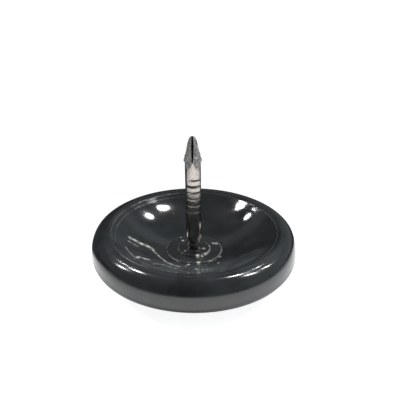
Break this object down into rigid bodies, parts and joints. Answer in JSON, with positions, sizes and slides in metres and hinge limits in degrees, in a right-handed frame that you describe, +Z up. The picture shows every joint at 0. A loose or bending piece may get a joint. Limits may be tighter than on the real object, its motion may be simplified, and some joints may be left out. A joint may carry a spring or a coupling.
{
  "type": "nail-on furniture glide",
  "caption": "Round furniture glide with a bead-rimmed dished plastic body, a pointed wire nail standing up from the dish and a felt pad under it.",
  "frame": {"origin": "centre of the felt pad's flat underside, on the floor", "axes": "+Z up along the nail to its tip; -Y is the side that faces the camera, where one ridge of the nail's point has its slit; +X to the camera's right"},
  "size_m": [0.028, 0.028, 0.0203],
  "materials": {
    "moulded_plastic": "glossy black, moulded",
    "felt": "coarse needle-punched felt of black, grey and white fibres",
    "steel_wire": "bright drawn wire"
  },
  "bodies": {
    "root": {"glide_body": "moulded_plastic", "felt_pad": "felt", "nail": "steel_wire"}
  },
  "joints": []
}
